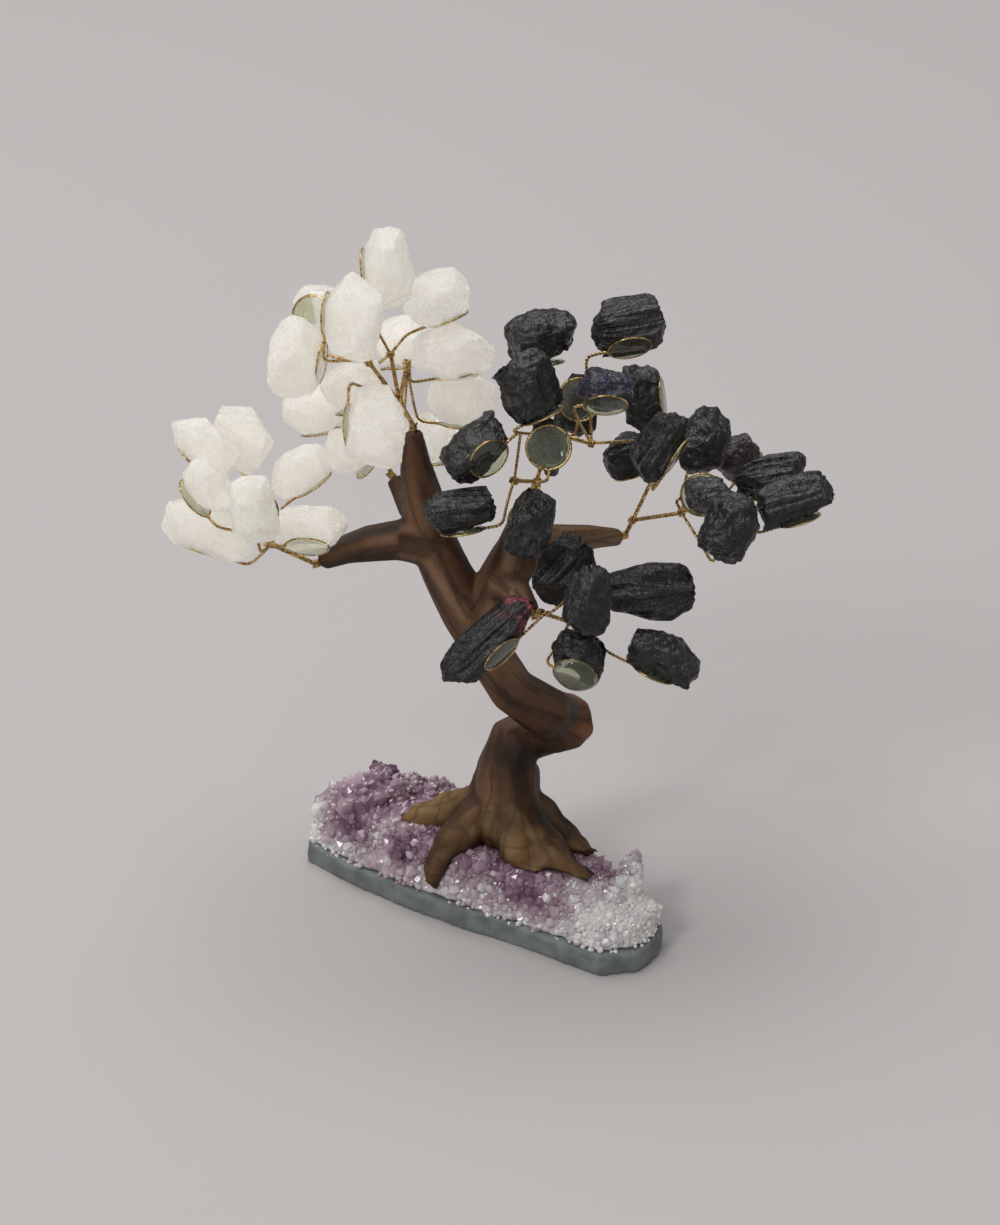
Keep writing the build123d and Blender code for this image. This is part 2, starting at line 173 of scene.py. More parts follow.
def surface_of(piece):
    """The places and the outward directions of a piece's points."""
    places = np.empty(len(piece.data.vertices) * 3)
    facing = np.empty(len(piece.data.vertices) * 3)
    piece.data.vertices.foreach_get("co", places)
    piece.data.vertex_normals.foreach_get("vector", facing)
    return places.reshape(-1, 3), facing.reshape(-1, 3)


def move(piece, places):
    """Gives a piece's points their new places."""
    piece.data.vertices.foreach_set("co", places.ravel())
    piece.data.update()


def finish(piece, material, smooth=True):
    """Gives a piece its finish, with a rounded or a faceted look."""
    piece.data.polygons.foreach_set("use_smooth", [smooth] * len(piece.data.polygons))
    piece.data.materials.append(material)


def keep(piece, name, values):
    """Keeps a number at each of a piece's points, for its finish to read."""
    piece.data.attributes.new(name, "FLOAT", "POINT").data.foreach_set("value", values)


def clouds(places, size, seed=0.0):
    """Soft noise from about -1 to 1 at each place, with clouds of about this size."""
    return np.array([noise.noise(Vector(place) / size + Vector((seed, 0, 0))) for place in places])


def step_up(values, low, high):
    """0 below low, 1 above high, and smooth between."""
    share = np.clip((values - low) / (high - low), 0, 1)
    return share * share * (3 - 2 * share)


rock, surface, shade = new_finish("grey-green rock")
mottle = shade.grains(5 * MM, 4, 0.5)
specks = shade.grains(0.9 * MM, 5, 0.7)
teal = mottle.spread(0.3, 0.7).between((0.145, 0.168, 0.162), (0.235, 0.262, 0.252))
shade.feed(surface.inputs["Base Color"], specks.spread(0.28, 0.40).between((0.075, 0.095, 0.092), teal))
shade.feed(surface.inputs["Roughness"], 0.50 + 0.25 * specks)
shade.feed(surface.inputs["Normal"], shade.relief(specks, 0.15 * MM))

rind = worked_copy("rind", "sawn_rind", "tree", "rind_rock", 0.7 * MM, 3)
places, facing = surface_of(rind)
edge = 1 - np.abs(facing[:, 2])
swell = 1.1 * clouds(places, 12 * MM) + 0.4 * clouds(places, 4 * MM, 7) + 0.1 * clouds(places, 1.5 * MM, 3)
places += facing * (edge * swell * MM)[:, None]
places[:, 2] = np.maximum(places[:, 2], 0)
move(rind, places)
finish(rind, rock)


# Trunk
# Brown clay modelled by hand over the core wire and painted. Broad folds run along the limbs and out
# along the roots, with painted shade darkening the creases between them and the pinches of the roots.
# The roots are ochre and the knob's end is rust red. Faces turned toward the front-left light are
# painted lighter as painted light, and the tops of the left branch carry a grey painted sheen.
LIMB_TWIST = 26 * MM
ROOT_FOOT = 23 * MM
ROOT_TOP = 36 * MM
ROOT_REACH = (14 * MM, 25 * MM)
NECK_HEIGHT = 41 * MM
KNOB_END = np.array((25.5, 7, 46.6)) * MM
# The way toward the front-left key light: faces turned this way are painted lighter, as painted light.
LIGHT_WAY = np.array((-0.20, -0.70, 0.68))
EVENING = 8


def tangents_of(node):
    """Places along a wire's solid, each with the direction of the wire there."""
    mesh = frame["nodes"][node].data
    middles = []
    directions = []
    for face in mesh.polygons:
        corners = [mesh.vertices[number].co for number in face.vertices]
        sides = [end - start for start, end in zip(corners, corners[1:] + corners[:1])]
        longest = max(sides, key=lambda side: side.length)
        straight = longest.normalized()
        if longest.length > 3 * MM:
            for share in range(1, 8):
                middles.append(corners[sides.index(longest)] + longest * share / 8)
                directions.append(straight if straight.z >= 0 else -straight)
    tree = KDTree(len(middles))
    for number, middle in enumerate(middles):
        tree.insert(middle, number)
    tree.balance()
    return tree, directions


core_places, core_directions = tangents_of("core")


def round_the_core(places):
    """For each place, the cosine and sine of its angle round the core and its distance from it."""
    turned = np.empty((len(places), 3))
    for number, place in enumerate(places):
        nearest, index, distance = core_places.find(place)
        along = core_directions[index]
        front = Vector((0, 1, 0)) - along * along.y
        front.normalize()
        out = Vector(place) - nearest
        out -= along * out.dot(along)
        length = max(out.length, 1e-6)
        turned[number] = out.dot(front) / length, out.dot(along.cross(front)) / length, length
    return turned


def blurred(piece, values, times):
    """Values at a piece's points, each evened out with those of its neighbours."""
    edges = np.empty(len(piece.data.edges) * 2, dtype=np.int32)
    piece.data.edges.foreach_get("vertices", edges)
    starts, ends = edges.reshape(-1, 2).T
    count = len(values)
    shares = np.bincount(edges, minlength=count) + 1
    for number in range(times):
        beside = np.bincount(starts, values[ends], count) + np.bincount(ends, values[starts], count)
        values = (values + beside) / shares
    return values


trunk = worked_copy("trunk", "clay_trunk", "tree", "painted_clay", 0.5 * MM, 26)
places, facing = surface_of(trunk)
turned = round_the_core(places)
height = places[:, 2]
rooted = 1 - step_up(height, ROOT_FOOT, ROOT_TOP)
climb = height / LIMB_TWIST
spun = np.column_stack([turned[:, 0] * np.cos(climb) - turned[:, 1] * np.sin(climb),
                        turned[:, 0] * np.sin(climb) + turned[:, 1] * np.cos(climb)])
limb_folds = clouds(np.column_stack([spun * 1.3, climb * 0.7]), 1.0, 5)
root_folds = clouds(np.column_stack([turned[:, :2] * 4.5, turned[:, 2] / (20 * MM)]), 1.0, 8)
folds = limb_folds * (1 - rooted) + root_folds * rooted
crease = np.exp(-(folds / 0.09) ** 2)
broad = clouds(np.column_stack([spun, climb * 0.5]), 1.0)
streaks = clouds(np.column_stack([spun * 2.1, climb * 0.8]), 1.0, 9)
lumps = clouds(places * (1, 1, 1.7), 7 * MM, 31) + 0.3 * clouds(places, 2.4 * MM, 12)
pinched = clouds(places * (0.8, 0.8, 1.6), 6 * MM, 52)
left = step_up(-places[:, 0], 17 * MM, 26 * MM)
right = step_up(places[:, 0], 3 * MM, 9 * MM) * step_up(height, 62 * MM, 72 * MM)
neck = np.exp(-((height - NECK_HEIGHT) / (4 * MM)) ** 2) * (1 - step_up(places[:, 0], 10 * MM, 16 * MM))
facing_light = facing @ LIGHT_WAY
pinch = np.exp(-(pinched / 0.06) ** 2) * rooted
# Painted shade: the paint is darkened in the creases between the folds and in the pinches of the roots.
keep(trunk, "crease", np.maximum(crease * (0.6 - 0.15 * rooted), 0.5 * pinch))
# The paint's tone: streaks and broad patches of paint, lighter lumps on the roots, a lighter right limb, a
# darker left branch and a darker neck, plus painted light on faces turned toward the key light.
glow = 0.34 + 0.5 * streaks + 0.3 * broad + 0.36 * facing_light + 0.4 * lumps * rooted
glow += 0.36 * right - 0.16 * left - 0.35 * neck
keep(trunk, "glow", np.clip(blurred(trunk, glow, EVENING), 0, 1))
keep(trunk, "root", rooted)
keep(trunk, "knob", 1 - step_up(np.linalg.norm(places - KNOB_END, axis=1), 5 * MM, 10 * MM))
# A painted sheen: the upward faces of the left branch are painted greyer and lighter.
keep(trunk, "ashen", left * step_up(facing[:, 2], 0.35, 0.95))

paint, surface, shade = new_finish("brown painted clay")
wash = shade.grains(2.4 * MM, 4, 0.6)
# The paint's tone with its painted light, and a fine wash of paint over it.
lit = shade.kept("glow") + 0.3 * (wash - 0.5)
limb = lit.ramp((0.0, (0.016, 0.008, 0.005)), (0.3, (0.044, 0.020, 0.011)), (0.55, (0.105, 0.049, 0.025)),
                (0.8, (0.185, 0.098, 0.053)), (1.0, (0.270, 0.165, 0.095)))
ochre = lit.ramp((0.0, (0.024, 0.012, 0.006)), (0.3, (0.070, 0.034, 0.014)), (0.6, (0.150, 0.079, 0.030)),
                 (1.0, (0.270, 0.160, 0.064)))
rust = lit.ramp((0.0, (0.060, 0.020, 0.010)), (0.5, (0.200, 0.078, 0.030)), (1.0, (0.360, 0.175, 0.075)))
brown = shade.kept("knob").between(shade.kept("root").between(limb, ochre), rust)
# The painted sheen on the tops of the left branch.
with_painted_sheen = (0.4 * shade.kept("ashen")).between(brown, (0.150, 0.118, 0.104))
# Painted shade darkens the creases toward near black.
shade.feed(surface.inputs["Base Color"], shade.kept("crease").between(with_painted_sheen, (0.014, 0.008, 0.006)))
shade.feed(surface.inputs["Roughness"], 0.42 + 0.25 * wash)
shade.feed(surface.inputs["Normal"], shade.relief(wash, 0.12 * MM))
surface.inputs["Specular IOR Level"].default_value = 0.25
ends = rooted * step_up(turned[:, 2], *ROOT_REACH)
lift = 0.3 + 0.6 * broad + 0.4 * np.abs(folds) - 0.25 * crease
lift += rooted * (1.3 * lumps + 0.9 * np.abs(pinched) - 0.2 * crease) - 1.3 * ends
move(trunk, places + facing * (blurred(trunk, lift, EVENING) * MM)[:, None])
finish(trunk, paint)


# Amethyst crust
# Purple quartz points grown tight together on the rind. The tops in the middle are mauve, and the
# flanks and both ends fade to milky white. A few single points are painted near white as painted glints.
CRYSTAL_POINTS = 13
OVERHANG = 2 * MM
GLINT_SHARE = 0.025
SMALL_END = 0.6
# The radius of each size of point in millimetres, how many seats are tried, and how far the points lean.
CRYSTAL_SIZES = [(1.9, 120, 0.35), (1.35, 1000, 0.4), (0.95, 5000, 0.5), (0.68, 14000, 0.6)]
bed = worked_copy("crust", "amethyst_crust", "tree", "amethyst", 0.8 * MM, 8)
rind_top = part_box("rind")[1].z
slab_points = np.array([point.co for point in frame["nodes"]["rind"].data.vertices])[:, :2]
slab_axis = np.linalg.svd(slab_points - slab_points.mean(0), full_matrices=False)[2][0]
slab_axis = slab_axis * np.sign(slab_axis[0])
slab_half = np.abs(slab_points @ slab_axis).max()


def paleness(places):
    """How milky the crystals are at each place, from 0 to 1."""
    along = places[:, :2] @ slab_axis / slab_half
    low = 1 - step_up(places[:, 2], rind_top + 1 * MM, rind_top + 9 * MM)
    right = step_up(along, 0.50, 0.90)
    left = step_up(-along, 0.72, 0.96)
    patchy = 0.40 * clouds(places, 9 * MM, 4) + 0.25 * clouds(places, 3.5 * MM, 2)
    return 0.37 + np.maximum(np.maximum(0.45 * low, 0.8 * right), 0.6 * left) + patchy


def crystal_seats(chance):
    """Seats for the points over the crust, the large ones first: place, direction out and radius."""
    faces = [face for face in bed.data.polygons
             if face.normal.z > -0.15 and face.center.z > rind_top - 0.5 * MM]
    shares = np.cumsum([face.area for face in faces])
    solid = frame["nodes"]["trunk"].data
    corners = [point.co for point in solid.vertices]
    clay = BVHTree.FromPolygons(corners, [face.vertices for face in solid.polygons])
    seats = []
    taken = np.empty((0, 4))
    for radius, tries, lean in CRYSTAL_SIZES:
        for number in range(tries):
            face = faces[int(np.searchsorted(shares, chance.uniform(0, shares[-1])))]
            middle = face.center
            end = Vector(slab_axis).dot(middle.xy) / slab_half
            size = radius * chance.uniform(0.8, 1.2) * (0.75 if end > SMALL_END else 1) * MM
            touch, outward, index, distance = clay.find_nearest(middle)
            under = (middle - touch).dot(outward) < 0.3 * size
            near = np.linalg.norm(taken[:, :3] - np.array(middle), axis=1) < 0.72 * (taken[:, 3] + size)
            if under or near.any():
                continue
            out = face.normal + Vector([chance.gauss(0, lean) for axis in range(3)])
            seats.append((middle.copy(), out.normalized(), size))
            taken = np.vstack([taken, [*middle, size]])
            if middle.z < rind_top + OVERHANG:
                level = Vector((face.normal.x, face.normal.y, 0)).normalized()
                hung = middle + level * 0.8 * MM - Vector((0, 0, chance.uniform(0.3, 2.4) * MM))
                seats.append((hung, (out + level).normalized(), 0.75 * size))
    return seats


def add_crystal(form, seat, out, size, chance):
    """One six-sided point with a short shank and a slightly crooked tip."""
    across = out.orthogonal().normalized()
    beside = out.cross(across)
    start = chance.uniform(0, math.pi / 3)
    shank = size * chance.uniform(-0.25, 0.15)
    peak = shank + size * chance.uniform(0.75, 1.15)
    rings = []
    for height in (-1.1 * size, shank):
        ring = []
        for corner in range(6):
            angle = start + corner * math.pi / 3
            side = across * math.cos(angle) + beside * math.sin(angle)
            ring.append(form.verts.new(seat + out * height + side * size))
        rings.append(ring)
    crook = across * chance.gauss(0, 0.14 * size) + beside * chance.gauss(0, 0.14 * size)
    tip = form.verts.new(seat + out * peak + crook)
    for corner in range(6):
        after = (corner + 1) % 6
        form.faces.new([rings[0][corner], rings[0][after], rings[1][after], rings[1][corner]])
        form.faces.new([rings[1][corner], rings[1][after], tip])
    form.faces.new(rings[0][::-1])


crystal_chance = random.Random(41)
seats = crystal_seats(crystal_chance)
places, facing = surface_of(bed)
places += facing * (0.8 * clouds(places, 1.7 * MM) * MM)[:, None]
move(bed, places)
form = bmesh.new()
form.from_mesh(bed.data)
for seat, out, size in seats:
    add_crystal(form, seat, out, size, crystal_chance)
form.to_mesh(bed.data)
form.free()
seat_pale = paleness(np.array([seat for seat, out, size in seats]))
for number in range(len(seats)):
    seat_pale[number] += crystal_chance.gauss(0, 0.08)
    # A few points are painted near white as painted glints.
    seat_pale[number] += 0.5 if crystal_chance.random() < GLINT_SHARE else 0
# The bed between the points is made less pale, as painted shade in the crevices.
pale = np.concatenate([paleness(places) - 0.1, np.repeat(seat_pale, CRYSTAL_POINTS)])
keep(bed, "pale", np.clip(pale, 0, 1))

amethyst, surface, shade = new_finish("amethyst points")
vein = shade.grains(2.5 * MM, 5, 0.6)
milk = shade.kept("pale") + 0.35 * (vein - 0.5)
shade.feed(surface.inputs["Base Color"], milk.ramp(
    (0.0, (0.125, 0.052, 0.098)), (0.25, (0.275, 0.155, 0.215)), (0.55, (0.490, 0.370, 0.430)),
    (0.8, (0.680, 0.605, 0.640)), (1.0, (0.840, 0.810, 0.800))))
shade.feed(surface.inputs["Roughness"], 0.06 + 0.25 * vein)
surface.inputs["Subsurface Weight"].default_value = 0.25
surface.inputs["Subsurface Radius"].default_value = (1.0, 0.8, 1.0)
surface.inputs["Subsurface Scale"].default_value = 2 * MM
surface.inputs["Coat Weight"].default_value = 0.6
surface.inputs["Coat Roughness"].default_value = 0.04
finish(bed, amethyst, smooth=False)


# Wire sprays
# Every stone sits on one length of brass wire, folded in two round its loop and twisted back on
# itself. The pairs are gathered into bundles, which are bound with a few turns of wire where they part.
# A spray has its stones' kind, its forks (the fork each grows from, and its place from the branch tip),
# the fork that carries each stone, and the heading at which the twig runs on under it, as seen in front.
SPRAYS = {
    "left": ("quartz", [(None, (-12, -2, 6)), (0, (-19, 0, 17))],
             [1, 1, 0, 0, 0, 0, 0],
             [137, 130, 125, 95, 158, 35, -3]),
    "top": ("quartz", [(None, (-3, -3, 9)), (0, (-10, -7, 21)), (0, (-5, -2, 21)), (0, (-1, -5, 20))],
            [2, 1, 1, 1, 2, 3, 3, 1, 0, 3, 2],
            [95, 85, 105, 260, 20, 10, -5, 195, 270, 5, 10]),
    "back": ("quartz", [(None, (-2.2, 2.4, 6))],
             [0, 0],
             [190, 240]),
    "middle": ("tourmaline", [(None, (1, -2, 4)), (0, (4, -2, 17)), (1, (14, -4, 15)), (0, (-4.5, -8, 7))],
               [3, 0, 3, 0, 1, 1, 1, 2, 2, 2],
               [188, 255, 222, 90, 5, 25, 85, 10, 0, 95]),
    "right": ("tourmaline", [(None, (3, -1, 5)), (0, (8, -1, 17)), (0, (15, -3, 8)), (2, (25, 1, 11))],
              [1, 1, 2, 3, 3, 3, 2, 2],
              [200, 55, 65, 50, 8, 18, 10, 70]),
    "front": ("tourmaline", [(None, (2, -3, 1)), (0, (9, -2, -2))],
              [0, 0, 1, 1, 1, 1],
              [223, 45, 260, 3, -20, -25]),
}
VIEW_DOWN = math.radians(27)
STRAND = 0.23 * MM
LOOP_RADIUS = 5.2 * MM
LOOP_DEEP = 0.3 * MM
TWIG_LEAD = 2.0 * MM
PAIR_PITCH = 1.9 * MM
BUNDLE_PITCH = 3.6 * MM
STEP = 0.18 * MM
BUNDLE_STEP = 0.35 * MM
BINDING_RADIUS = 0.85 * MM
TIP_LEAD = 1.5 * MM


class Loop:
    """A stone's loop: its centre, the way of its twig, the stone's side, and where the twig bends."""

    def __init__(self, film, stone, heading):
        middle = film.mean(0)
        heading = math.radians(heading)
        self.along = np.array((math.cos(heading), math.sin(VIEW_DOWN) * math.sin(heading),
                               math.cos(VIEW_DOWN) * math.sin(heading)))
        side = np.linalg.svd(film - middle, full_matrices=False)[2][2]
        self.out = side * np.sign(side.dot(stone.mean(0) - middle))
        self.across = np.cross(self.out, self.along)
        thick = np.abs((film - middle) @ self.out).max()
        self.centre = middle - self.out * (thick - LOOP_DEEP)
        half = np.abs((stone - middle) @ self.along).max()
        self.bend = self.centre - self.along * (max(LOOP_RADIUS, half) + TWIG_LEAD)


def points_of(node):
    """The points of a solid's mesh."""
    return np.array([point.co for point in frame["nodes"][node].data.vertices])


def islands(node):
    """The points of each separate solid of a node."""
    form = bmesh.new()
    form.from_mesh(frame["nodes"][node].data)
    bmesh.ops.remove_doubles(form, verts=form.verts, dist=1e-6)
    left = set(form.verts)
    groups = []
    while left:
        edge = [left.pop()]
        group = []
        while edge:
            point = edge.pop()
            group.append(point.co[:])
            for line in point.link_edges:
                other = line.other_vert(point)
                if other in left:
                    left.remove(other)
                    edge.append(other)
        groups.append(np.array(group))
    form.free()
    return groups


tips = {joint["child"].replace("_spray", ""): np.array(joint["pos_m"]) for joint in frame["joints"]}


def fork_place(spray, number):
    """Where a fork of a spray is, or its branch's tip."""
    return tips[spray] if number is None else tips[spray] + np.array(SPRAYS[spray][1][number][1]) * MM


def loops_of(spray):
    """The loop of every stone of a spray, found from its film of glue."""
    kind, forks, carried, headings = SPRAYS[spray]
    films = islands(spray + "_glue")
    found = []
    for number, heading in enumerate(headings, 1):
        stone = points_of(f"{spray}_{kind}_{number}")
        film = min(films, key=lambda points: np.linalg.norm(points.mean(0) - stone.mean(0)))
        found.append(Loop(film, stone, heading))
    return found


loops = {spray: loops_of(spray) for spray in SPRAYS}


def tube(form, line, radius, sides=6):
    """A round wire along a line of points, closed at its ends."""
    ways = np.gradient(line, axis=0)
    ways /= np.linalg.norm(ways, axis=1)[:, None]
    side = np.array(Vector(ways[0]).orthogonal().normalized())
    rings = []
    for place, way in zip(line, ways):
        side = side - way * side.dot(way)
        side /= np.linalg.norm(side)
        up = np.cross(way, side)
        ring = []
        for corner in range(sides):
            angle = 2 * math.pi * corner / sides
            ring.append(form.verts.new(place + (side * math.cos(angle) + up * math.sin(angle)) * radius))
        rings.append(ring)
    for before, after in zip(rings, rings[1:]):
        for corner in range(sides):
            beside = (corner + 1) % sides
            form.faces.new([before[corner], before[beside], after[beside], after[corner]])
    form.faces.new(rings[0][::-1])
    form.faces.new(rings[-1])


def wound(line, offset, pitch, start):
    """A line wound round another at an offset, with one turn in each pitch."""
    ways = np.gradient(line, axis=0)
    ways /= np.linalg.norm(ways, axis=1)[:, None]
    run = np.concatenate([[0], np.cumsum(np.linalg.norm(np.diff(line, axis=0), axis=1))])
    side = np.array(Vector(ways[0]).orthogonal().normalized())
    wound_line = []
    for place, way, length in zip(line, ways, run):
        side = side - way * side.dot(way)
        side /= np.linalg.norm(side)
        angle = start + 2 * math.pi * length / pitch
        wound_line.append(place + (side * math.cos(angle) + np.cross(way, side) * math.sin(angle)) * offset)
    return np.array(wound_line)


def bowed(start, end, bow, step):
    """Points from start to end, on a line that is bowed sideways."""
    count = max(6, int(np.linalg.norm(end - start) / step))
    shares = np.linspace(0, 1, count)[:, None]
    return start + (end - start) * shares + bow * 4 * shares * (1 - shares)


def eased(line, times):
    """The same line with its kinks eased."""
    for number in range(times):
        line[1:-1] = (line[:-2] + 2 * line[1:-1] + line[2:]) / 4
    return line


def add_twig(form, fork, loop, chance):
    """One wire: out along the twisted pair, round the loop and back."""
    bow = np.array([chance.uniform(-0.5, 0.5) for axis in range(3)]) * MM
    end = loop.centre - loop.along * LOOP_RADIUS
    line = np.vstack([bowed(fork, loop.bend, bow, STEP), bowed(loop.bend, end, 0 * bow, STEP)[1:]])
    line = eased(line, 160)
    start = chance.uniform(0, 2 * math.pi)
    there = wound(line, STRAND, PAIR_PITCH, start)
    back = wound(line, STRAND, PAIR_PITCH, start + math.pi)[::-1]
    turns = np.linspace(math.pi + 0.1, 3 * math.pi - 0.1, 44)[:, None]
    ring = loop.centre + (loop.along * np.cos(turns) + loop.across * np.sin(turns)) * LOOP_RADIUS
    tube(form, eased(np.vstack([there, ring, back]), 2), STRAND)


def add_bundle(form, line, strands, chance):
    """Several wires wound together along a line."""
    offset = STRAND / math.sin(math.pi / strands)
    start = chance.uniform(0, 2 * math.pi)
    for strand in range(strands):
        tube(form, wound(line, offset, BUNDLE_PITCH, start + 2 * math.pi * strand / strands), STRAND)


def add_binding(form, place, way, turns):
    """A few turns of wire round a bundle, where it parts."""
    way = way / np.linalg.norm(way)
    length = turns * 2.1 * STRAND
    line = bowed(place - way * length / 2, place + way * length / 2, 0 * way, length / (turns * 14))
    tube(form, wound(line, BINDING_RADIUS, length / turns, 0), STRAND)


brass, surface, shade = new_finish("drawn brass wire")
tarnish = shade.grains(0.7 * MM, 4, 0.6)
dull = shade.grains(7 * MM, 2, 0.5)
gold = dull.spread(0.42, 0.58).between((0.62, 0.46, 0.20), (0.92, 0.66, 0.28))
shade.feed(surface.inputs["Base Color"], tarnish.spread(0.36, 0.56).between((0.22, 0.085, 0.035), gold))
shade.feed(surface.inputs["Roughness"], 0.20 + 0.22 * tarnish)
surface.inputs["Metallic"].default_value = 1.0

for spray, (kind, forks, carried, headings) in SPRAYS.items():
    chance = random.Random("wires of " + spray)
    form = bmesh.new()
    for number, (parent, place) in enumerate(forks):
        start = fork_place(spray, parent)
        end = fork_place(spray, number)
        line = bowed(start, end, np.zeros(3), BUNDLE_STEP)
        if parent is None:
            nearest, index, distance = core_places.find(start)
            way = np.array(Vector(start) - nearest)
            way /= np.linalg.norm(way)
            line = np.vstack([bowed(start - way * TIP_LEAD, start + way * TIP_LEAD, 0 * way, BUNDLE_STEP),
                              bowed(start + way * (TIP_LEAD + 0.1 * MM), end, 0 * way, BUNDLE_STEP)])
            line = eased(line, 12)
            add_binding(form, start + way * 1.2 * MM, way, 9 if spray == "middle" else 4)
        add_bundle(form, line, 5 if parent is None else 4, chance)
        add_binding(form, end, end - start, 3)
    for fork, loop in zip(carried, loops[spray]):
        add_twig(form, fork_place(spray, fork), loop, chance)
    mesh = bpy.data.meshes.new("twisted_" + spray)
    form.to_mesh(mesh)
    form.free()
    new_piece("twisted_" + spray + "_wires", mesh, spray + "_spray", "brass_wire", spray + "_wires")
    mesh.polygons.foreach_set("use_smooth", [True] * len(mesh.polygons))
    mesh.materials.append(brass)

core = frame["nodes"]["core"]
core.data.materials.clear()
core.data.materials.append(brass)


# Glue
# A drop of clear glue fills every loop and holds the stone. It sets as a thin, slightly domed film,
# olive grey where it is thick, and on one stone of the front spray it hangs as a round bead.
FILM_RADIUS = LOOP_RADIUS + 0.35 * MM
FILM_RINGS = 7
FILM_SIDES = 32
FILM_RISE = 0.75 * MM
FILM_SAG = 0.45 * MM
BEAD_SAG = 3.2 * MM
BEADED = ("front", 5)

glue, surface, shade = new_finish("clear set glue")
haze = shade.grains(2.5 * MM, 3, 0.5)
shade.feed(surface.inputs["Base Color"], haze.between((0.56, 0.59, 0.41), (0.79, 0.81, 0.65)))
shade.feed(surface.inputs["Roughness"], 0.02 + 0.06 * haze)
surface.inputs["Transmission Weight"].default_value = 0.92
surface.inputs["IOR"].default_value = 1.47


def film_ring(form, loop, share, level):
    """A ring of points round a film, at a share of its radius and a level above the loop."""
    ring = []
    for side in range(FILM_SIDES):
        angle = 2 * math.pi * side / FILM_SIDES
        reach = loop.along * math.cos(angle) + loop.across * math.sin(angle)
        ring.append(form.verts.new(loop.centre + loop.out * level + reach * FILM_RADIUS * share))
    return ring


def add_film(form, loop, sag):
    """A film across a loop, domed below it and level under the stone."""
    rim = film_ring(form, loop, 1, 0)
    for height, power, order in [(FILM_RISE, 3, 1), (-sag, 2, -1)]:
        middle = form.verts.new(loop.centre + loop.out * height)
        shell = []
        for ring in range(1, FILM_RINGS):
            share = ring / FILM_RINGS
            shell.append(film_ring(form, loop, share, height * (1 - share ** power)))
        shell.append(rim)
        for side in range(FILM_SIDES):
            after = (side + 1) % FILM_SIDES
            form.faces.new([middle, shell[0][side], shell[0][after]][::order])
            for inner, outer in zip(shell, shell[1:]):
                form.faces.new([inner[side], outer[side], outer[after], inner[after]][::order])


for spray in SPRAYS:
    form = bmesh.new()
    for number, loop in enumerate(loops[spray], 1):
        add_film(form, loop, BEAD_SAG if (spray, number) == BEADED else FILM_SAG)
    mesh = bpy.data.meshes.new("clear_" + spray)
    form.to_mesh(mesh)
    form.free()
    new_piece("clear_" + spray + "_glue", mesh, spray + "_spray", "clear_glue", spray + "_glue")
    mesh.polygons.foreach_set("use_smooth", [True] * len(mesh.polygons))
    mesh.materials.append(glue)


# Milky quartz
# Rough lumps of white quartz, tumbled just enough to lose their sharp edges. They are cloudy inside
# with small bright breaks, and a few on the right of the top spray are half clear and finely cracked.
ICY = [("top", 5), ("top", 6), ("top", 10)]
SWOLLEN = 1.16


def axes_of(loop):
    """A stone's own axes: along it, across it and out from its loop."""
    return np.array((loop.along, loop.across, loop.out))


def chipped(local, roundness, chips, chance):
    """A stone's points, rounded towards an egg of the same size and flattened where chips broke off."""
    half = np.abs(local).max(0)
    egg = np.linalg.norm(local / half, axis=1)[:, None]
    local = local * (1 - roundness + roundness * SWOLLEN / egg)
    for chip in range(chips):
        way = np.array([chance.gauss(0, 1) for axis in range(3)])
        way /= np.linalg.norm(way)
        reach = np.linalg.norm(way * half) * chance.uniform(0.74, 0.98)
        over = np.maximum(local @ way - reach, 0)
        local = local - over[:, None] * way
    return local


def quartz_finish(name, cloudy, clear, see_through):
    """Quartz that runs from a cloudy white to a clearer grey, with a faint painted glow."""
    quartz, surface, shade = new_finish(name)
    veil = shade.grains(5 * MM, 5, 0.6)
    frost = shade.grains(1.0 * MM, 4, 0.6)
    cloud = (0.6 * veil + 0.4 * frost).spread(0.38, 0.58)
    shade.feed(surface.inputs["Base Color"], cloud.between(clear, cloudy))
    shade.feed(surface.inputs["Roughness"], 0.02 + 0.25 * frost)
    breaks = shade.sum("PINGPONG", veil, 0.07)
    shade.feed(surface.inputs["Normal"], shade.relief(6 * breaks + 0.5 * frost, 0.5 * MM))
    # A faint emission: a painted glow that lifts the shaded sides of the quartz.
    surface.inputs["Emission Color"].default_value = (1.0, 0.94, 0.86, 1)
    surface.inputs["Emission Strength"].default_value = 0.16
    surface.inputs["Subsurface Weight"].default_value = 1.0
    surface.inputs["Subsurface Radius"].default_value = (1.0, 0.98, 0.95)
    surface.inputs["Subsurface Scale"].default_value = 8 * MM
    surface.inputs["Transmission Weight"].default_value = see_through
    surface.inputs["IOR"].default_value = 1.54
    return quartz


milky = quartz_finish("milky quartz", (0.93, 0.90, 0.85), (0.86, 0.83, 0.78), 0.55)
icy = quartz_finish("icy quartz", (0.92, 0.90, 0.86), (0.80, 0.79, 0.76), 0.75)

for spray in ("left", "top", "back"):
    for number, loop in enumerate(loops[spray], 1):
        node = f"{spray}_quartz_{number}"
        lump = worked_copy(node, "rough_" + node, spray + "_spray", "milky_quartz", 0.45 * MM, 6)
        places, facing = surface_of(lump)
        seed = 13.7 * number + len(spray)
        axes = axes_of(loop)
        middle = places.mean(0)
        local = (places - middle) @ axes.T
        local += np.column_stack([clouds(places, 9 * MM, seed + shift) for shift in (0, 40, 80)]) * 2.5 * MM
        move(lump, middle + chipped(local, 0.5, 20, random.Random(node)) @ axes)
        places, facing = surface_of(lump)
        swell = 0.35 * clouds(places, 3.4 * MM, seed) + 0.25 * clouds(places, 1.4 * MM, seed)
        move(lump, places + facing * (swell * MM)[:, None])
        finish(lump, icy if (spray, number) in ICY else milky)


